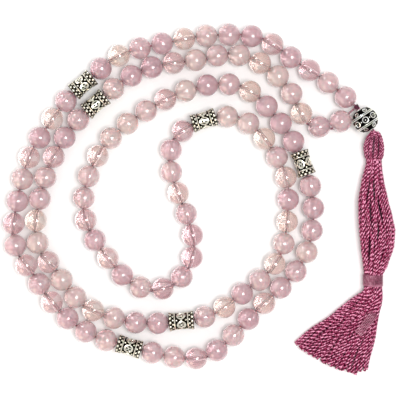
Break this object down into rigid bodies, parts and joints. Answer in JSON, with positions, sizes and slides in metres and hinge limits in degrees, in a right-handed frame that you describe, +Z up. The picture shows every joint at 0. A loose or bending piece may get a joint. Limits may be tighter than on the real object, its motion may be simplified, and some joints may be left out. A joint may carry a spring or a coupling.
{
  "type": "mala prayer beads",
  "caption": "Closed strand of round rose quartz beads with silver tube spacers, a patterned silver guru bead and a plum thread tassel, laid flat in a folded spiral.",
  "frame": {"origin": "centre of the laid-out mala in plan, on the surface it rests on", "axes": "+Z up from the resting surface; +X across the spiral towards the guru bead and tassel; -Y the way the tassel points"},
  "size_m": [0.1438, 0.1292, 0.0092],
  "materials": {
    "rose_quartz": "polished",
    "spacer_silver": "antiqued cast silver",
    "guru_silver": "antiqued cast silver",
    "stringing_cord": "waxed",
    "tassel_thread": "silky two-ply thread"
  },
  "bodies": {
    "strand": {"stringing_cord": "stringing_cord", "strand_knot": "tassel_thread", "guru_thread": "tassel_thread", "quartz_beads_segment_3": "rose_quartz", "quartz_beads_segment_4": "rose_quartz", "quartz_beads_segment_5": "rose_quartz", "quartz_beads_segment_6": "rose_quartz"},
    "guru_bead": {"guru_bead": "guru_silver"},
    "quartz_bead_001": {"quartz_bead_001": "rose_quartz"},
    "quartz_bead_002": {"quartz_bead_002": "rose_quartz"},
    "quartz_bead_003": {"quartz_bead_003": "rose_quartz"},
    "quartz_bead_004": {"quartz_bead_004": "rose_quartz"},
    "quartz_bead_005": {"quartz_bead_005": "rose_quartz"},
    "quartz_bead_006": {"quartz_bead_006": "rose_quartz"},
    "quartz_bead_007": {"quartz_bead_007": "rose_quartz"},
    "quartz_bead_008": {"quartz_bead_008": "rose_quartz"},
    "quartz_bead_009": {"quartz_bead_009": "rose_quartz"},
    "quartz_bead_010": {"quartz_bead_010": "rose_quartz"},
    "quartz_bead_011": {"quartz_bead_011": "rose_quartz"},
    "quartz_bead_012": {"quartz_bead_012": "rose_quartz"},
    "quartz_bead_013": {"quartz_bead_013": "rose_quartz"},
    "spacer_bead_1": {"spacer_bead_1": "spacer_silver"},
    "quartz_bead_014": {"quartz_bead_014": "rose_quartz"},
    "quartz_bead_015": {"quartz_bead_015": "rose_quartz"},
    "quartz_bead_016": {"quartz_bead_016": "rose_quartz"},
    "quartz_bead_017": {"quartz_bead_017": "rose_quartz"},
    "quartz_bead_018": {"quartz_bead_018": "rose_quartz"},
    "quartz_bead_019": {"quartz_bead_019": "rose_quartz"},
    "quartz_bead_020": {"quartz_bead_020": "rose_quartz"},
    "quartz_bead_021": {"quartz_bead_021": "rose_quartz"},
    "quartz_bead_022": {"quartz_bead_022": "rose_quartz"},
    "quartz_bead_023": {"quartz_bead_023": "rose_quartz"},
    "quartz_bead_024": {"quartz_bead_024": "rose_quartz"},
    "quartz_bead_025": {"quartz_bead_025": "rose_quartz"},
    "quartz_bead_026": {"quartz_bead_026": "rose_quartz"},
    "quartz_bead_027": {"quartz_bead_027": "rose_quartz"},
    "spacer_bead_2": {"spacer_bead_2": "spacer_silver"},
    "spacer_bead_3": {"spacer_bead_3": "spacer_silver"},
    "spacer_bead_4": {"spacer_bead_4": "spacer_silver"},
    "spacer_bead_5": {"spacer_bead_5": "spacer_silver"},
    "spacer_bead_6": {"spacer_bead_6": "spacer_silver"},
    "quartz_bead_096": {"quartz_bead_096": "rose_quartz"},
    "quartz_bead_097": {"quartz_bead_097": "rose_quartz"},
    "quartz_bead_098": {"quartz_bead_098": "rose_quartz"},
    "quartz_bead_099": {"quartz_bead_099": "rose_quartz"},
    "quartz_bead_100": {"quartz_bead_100": "rose_quartz"},
    "quartz_bead_101": {"quartz_bead_101": "rose_quartz"},
    "quartz_bead_102": {"quartz_bead_102": "rose_quartz"},
    "quartz_bead_103": {"quartz_bead_103": "rose_quartz"},
    "quartz_bead_104": {"quartz_bead_104": "rose_quartz"},
    "quartz_bead_105": {"quartz_bead_105": "rose_quartz"},
    "quartz_bead_106": {"quartz_bead_106": "rose_quartz"},
    "quartz_bead_107": {"quartz_bead_107": "rose_quartz"},
    "quartz_bead_108": {"quartz_bead_108": "rose_quartz"},
    "hanger": {"tassel_hanger": "tassel_thread"},
    "tassel": {"tassel_head": "tassel_thread", "tassel_neck_wrap": "tassel_thread", "tassel_body": "tassel_thread", "tassel_waist_wrap": "tassel_thread"},
    "fringe": {"tassel_fringe": "tassel_thread"}
  },
  "joints": [
    {"name": "tassel_swing", "type": "hinge", "parent": "strand", "child": "hanger", "pos_m": [0.06418, 0.02429, 0.0047], "axis": [0, 0, 1], "range_deg": [-6, 75]},
    {"name": "tassel_lift", "type": "hinge", "parent": "hanger", "child": "tassel", "pos_m": [0.06418, 0.02429, 0.0047], "axis": [-1, 0, 0], "range_deg": [0, 80]},
    {"name": "fringe_sway", "type": "hinge", "parent": "tassel", "child": "fringe", "pos_m": [0.06368, -0.03581, 0.0047], "axis": [0, 0, 1], "range_deg": [-12, 12]},
    {"name": "guru_bead_spin", "type": "hinge", "parent": "strand", "child": "guru_bead", "pos_m": [0.06085, 0.02933, 0.0047], "axis": [0.5519, -0.8339, 0], "continuous": true},
    {"name": "quartz_bead_001_spin", "type": "hinge", "parent": "strand", "child": "quartz_bead_001", "pos_m": [0.05382, 0.0377, 0.004], "axis": [-0.7291, 0.6844, 0], "continuous": true},
    {"name": "quartz_bead_002_spin", "type": "hinge", "parent": "strand", "child": "quartz_bead_002", "pos_m": [0.04744, 0.04296, 0.004], "axis": [-0.8111, 0.5849, 0], "continuous": true},
    {"name": "quartz_bead_003_spin", "type": "hinge", "parent": "strand", "child": "quartz_bead_003", "pos_m": [0.04057, 0.04755, 0.004], "axis": [-0.8512, 0.5248, 0], "continuous": true},
    {"name": "quartz_bead_004_spin", "type": "hinge", "parent": "strand", "child": "quartz_bead_004", "pos_m": [0.03378, 0.05228, 0.004], "axis": [-0.7875, 0.6163, 0], "continuous": true},
    {"name": "quartz_bead_005_spin", "type": "hinge", "parent": "strand", "child": "quartz_bead_005", "pos_m": [0.02704, 0.05708, 0.004], "axis": [-0.8394, 0.5435, 0], "continuous": true},
    {"name": "quartz_bead_006_spin", "type": "hinge", "parent": "strand", "child": "quartz_bead_006", "pos_m": [0.01942, 0.06003, 0.004], "axis": [-0.9863, 0.1648, 0], "continuous": true},
    {"name": "quartz_bead_007_spin", "type": "hinge", "parent": "strand", "child": "quartz_bead_007", "pos_m": [0.01111, 0.06062, 0.004], "axis": [-0.9997, -0.0249, 0], "continuous": true},
    {"name": "quartz_bead_008_spin", "type": "hinge", "parent": "strand", "child": "quartz_bead_008", "pos_m": [0.00282, 0.06022, 0.004], "axis": [-0.9974, -0.0716, 0], "continuous": true},
    {"name": "quartz_bead_009_spin", "type": "hinge", "parent": "strand", "child": "quartz_bead_009", "pos_m": [-0.00534, 0.05904, 0.004], "axis": [-0.977, -0.2131, 0], "continuous": true},
    {"name": "quartz_bead_010_spin", "type": "hinge", "parent": "strand", "child": "quartz_bead_010", "pos_m": [-0.01344, 0.05734, 0.004], "axis": [-0.9805, -0.1966, 0], "continuous": true},
    {"name": "quartz_bead_011_spin", "type": "hinge", "parent": "strand", "child": "quartz_bead_011", "pos_m": [-0.02156, 0.05565, 0.004], "axis": [-0.977, -0.2131, 0], "continuous": true},
    {"name": "quartz_bead_012_spin", "type": "hinge", "parent": "strand", "child": "quartz_bead_012", "pos_m": [-0.02926, 0.05291, 0.004], "axis": [-0.8918, -0.4524, 0], "continuous": true},
    {"name": "quartz_bead_013_spin", "type": "hinge", "parent": "strand", "child": "quartz_bead_013", "pos_m": [-0.0359, 0.04818, 0.004], "axis": [-0.72, -0.694, 0], "continuous": true},
    {"name": "spacer_bead_1_spin", "type": "hinge", "parent": "strand", "child": "spacer_bead_1", "pos_m": [-0.04248, 0.04231, 0.004], "axis": [-0.7681, -0.6403, 0], "continuous": true},
    {"name": "quartz_bead_014_spin", "type": "hinge", "parent": "strand", "child": "quartz_bead_014", "pos_m": [-0.04873, 0.03628, 0.004], "axis": [-0.6589, -0.7522, 0], "continuous": true},
    {"name": "quartz_bead_015_spin", "type": "hinge", "parent": "strand", "child": "quartz_bead_015", "pos_m": [-0.05371, 0.02979, 0.004], "axis": [-0.558, -0.8299, 0], "continuous": true},
    {"name": "quartz_bead_016_spin", "type": "hinge", "parent": "strand", "child": "quartz_bead_016", "pos_m": [-0.05836, 0.02286, 0.004], "axis": [-0.5551, -0.8318, 0], "continuous": true},
    {"name": "quartz_bead_017_spin", "type": "hinge", "parent": "strand", "child": "quartz_bead_017", "pos_m": [-0.06221, 0.01556, 0.004], "axis": [-0.3729, -0.9279, 0], "continuous": true},
    {"name": "quartz_bead_018_spin", "type": "hinge", "parent": "strand", "child": "quartz_bead_018", "pos_m": [-0.0647, 0.00772, 0.004], "axis": [-0.2305, -0.9731, 0], "continuous": true},
    {"name": "quartz_bead_019_spin", "type": "hinge", "parent": "strand", "child": "quartz_bead_019", "pos_m": [-0.06647, -0.00038, 0.004], "axis": [-0.1972, -0.9804, 0], "continuous": true},
    {"name": "quartz_bead_020_spin", "type": "hinge", "parent": "strand", "child": "quartz_bead_020", "pos_m": [-0.06792, -0.00858, 0.004], "axis": [-0.1513, -0.9885, 0], "continuous": true},
    {"name": "quartz_bead_021_spin", "type": "hinge", "parent": "strand", "child": "quartz_bead_021", "pos_m": [-0.06728, -0.01668, 0.004], "axis": [0.3078, -0.9515, 0], "continuous": true},
    {"name": "quartz_bead_022_spin", "type": "hinge", "parent": "strand", "child": "quartz_bead_022", "pos_m": [-0.0633, -0.02395, 0.004], "axis": [0.6316, -0.7753, 0], "continuous": true},
    {"name": "quartz_bead_023_spin", "type": "hinge", "parent": "strand", "child": "quartz_bead_023", "pos_m": [-0.05855, -0.03076, 0.004], "axis": [0.5074, -0.8617, 0], "continuous": true},
    {"name": "quartz_bead_024_spin", "type": "hinge", "parent": "strand", "child": "quartz_bead_024", "pos_m": [-0.05387, -0.03746, 0.004], "axis": [0.6339, -0.7734, 0], "continuous": true},
    {"name": "quartz_bead_025_spin", "type": "hinge", "parent": "strand", "child": "quartz_bead_025", "pos_m": [-0.04809, -0.04338, 0.004], "axis": [0.7566, -0.6538, 0], "continuous": true},
    {"name": "quartz_bead_026_spin", "type": "hinge", "parent": "strand", "child": "quartz_bead_026", "pos_m": [-0.04142, -0.04824, 0.004], "axis": [0.8555, -0.5179, 0], "continuous": true},
    {"name": "quartz_bead_027_spin", "type": "hinge", "parent": "strand", "child": "quartz_bead_027", "pos_m": [-0.03392, -0.0514, 0.004], "axis": [0.9677, -0.2522, 0], "continuous": true},
    {"name": "spacer_bead_2_spin", "type": "hinge", "parent": "strand", "child": "spacer_bead_2", "pos_m": [-0.02548, -0.05374, 0.004], "axis": [0.9599, -0.2803, 0], "continuous": true},
    {"name": "spacer_bead_3_spin", "type": "hinge", "parent": "strand", "child": "spacer_bead_3", "pos_m": [0.03823, 0.01343, 0.004], "axis": [-0.3257, 0.9455, 0], "continuous": true},
    {"name": "spacer_bead_4_spin", "type": "hinge", "parent": "strand", "child": "spacer_bead_4", "pos_m": [0.00187, 0.02922, 0.004], "axis": [0.9567, 0.2911, 0], "continuous": true},
    {"name": "spacer_bead_5_spin", "type": "hinge", "parent": "strand", "child": "spacer_bead_5", "pos_m": [-0.00638, -0.04436, 0.004], "axis": [-0.9958, -0.0912, 0], "continuous": true},
    {"name": "spacer_bead_6_spin", "type": "hinge", "parent": "strand", "child": "spacer_bead_6", "pos_m": [-0.03787, 0.0352, 0.004], "axis": [0.7693, 0.6389, 0], "continuous": true},
    {"name": "quartz_bead_096_spin", "type": "hinge", "parent": "strand", "child": "quartz_bead_096", "pos_m": [-0.03128, 0.04076, 0.004], "axis": [0.759, 0.6511, 0], "continuous": true},
    {"name": "quartz_bead_097_spin", "type": "hinge", "parent": "strand", "child": "quartz_bead_097", "pos_m": [-0.02467, 0.04547, 0.004], "axis": [0.8624, 0.5062, 0], "continuous": true},
    {"name": "quartz_bead_098_spin", "type": "hinge", "parent": "strand", "child": "quartz_bead_098", "pos_m": [-0.01718, 0.0486, 0.004], "axis": [0.9664, 0.2571, 0], "continuous": true},
    {"name": "quartz_bead_099_spin", "type": "hinge", "parent": "strand", "child": "quartz_bead_099", "pos_m": [-0.00921, 0.05017, 0.004], "axis": [0.9918, 0.1281, 0], "continuous": true},
    {"name": "quartz_bead_100_spin", "type": "hinge", "parent": "strand", "child": "quartz_bead_100", "pos_m": [-0.00116, 0.05126, 0.004], "axis": [0.9903, 0.1393, 0], "continuous": true},
    {"name": "quartz_bead_101_spin", "type": "hinge", "parent": "strand", "child": "quartz_bead_101", "pos_m": [0.00678, 0.05292, 0.004], "axis": [0.9626, 0.2708, 0], "continuous": true},
    {"name": "quartz_bead_102_spin", "type": "hinge", "parent": "strand", "child": "quartz_bead_102", "pos_m": [0.0149, 0.05301, 0.004], "axis": [0.9721, -0.2346, 0], "continuous": true},
    {"name": "quartz_bead_103_spin", "type": "hinge", "parent": "strand", "child": "quartz_bead_103", "pos_m": [0.0225, 0.05014, 0.004], "axis": [0.877, -0.4805, 0], "continuous": true},
    {"name": "quartz_bead_104_spin", "type": "hinge", "parent": "strand", "child": "quartz_bead_104", "pos_m": [0.02906, 0.04536, 0.004], "axis": [0.736, -0.677, 0], "continuous": true},
    {"name": "quartz_bead_105_spin", "type": "hinge", "parent": "strand", "child": "quartz_bead_105", "pos_m": [0.03402, 0.03893, 0.004], "axis": [0.4522, -0.8919, 0], "continuous": true},
    {"name": "quartz_bead_106_spin", "type": "hinge", "parent": "strand", "child": "quartz_bead_106", "pos_m": [0.03761, 0.03164, 0.004], "axis": [0.4331, -0.9013, 0], "continuous": true},
    {"name": "quartz_bead_107_spin", "type": "hinge", "parent": "strand", "child": "quartz_bead_107", "pos_m": [0.04417, 0.02686, 0.004], "axis": [0.9783, -0.2071, 0], "continuous": true},
    {"name": "quartz_bead_108_spin", "type": "hinge", "parent": "strand", "child": "quartz_bead_108", "pos_m": [0.05204, 0.02888, 0.004], "axis": [0.7178, 0.6962, 0], "continuous": true}
  ]
}
